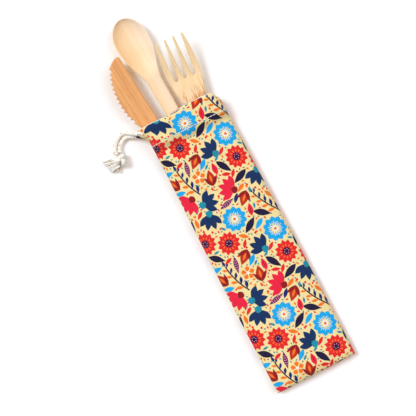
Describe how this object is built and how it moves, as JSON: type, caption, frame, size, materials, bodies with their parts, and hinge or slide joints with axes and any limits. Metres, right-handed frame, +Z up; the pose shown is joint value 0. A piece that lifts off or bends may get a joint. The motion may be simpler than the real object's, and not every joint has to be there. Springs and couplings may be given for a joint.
{
  "type": "bamboo cutlery pack",
  "caption": "Bamboo knife, spoon and fork in a printed cotton drawstring pouch, lying flat with their heads out of its mouth.",
  "frame": {"origin": "on the resting surface, under the middle of the pouch", "axes": "+Y along the pouch to its mouth and the utensils' heads, +X to the right seen from above, +Z up"},
  "size_m": [0.1233, 0.3633, 0.0185],
  "materials": {
    "cotton": "matte printed cotton",
    "cord": "matte twisted cotton",
    "pale_bamboo": "sanded, lightly oiled",
    "dark_bamboo": "sanded, lightly oiled"
  },
  "bodies": {
    "root": {"pouch": "cotton", "drawstring": "cord", "drawstring_knot": "cord", "knife": "dark_bamboo", "spoon": "pale_bamboo", "fork": "pale_bamboo"}
  },
  "joints": []
}
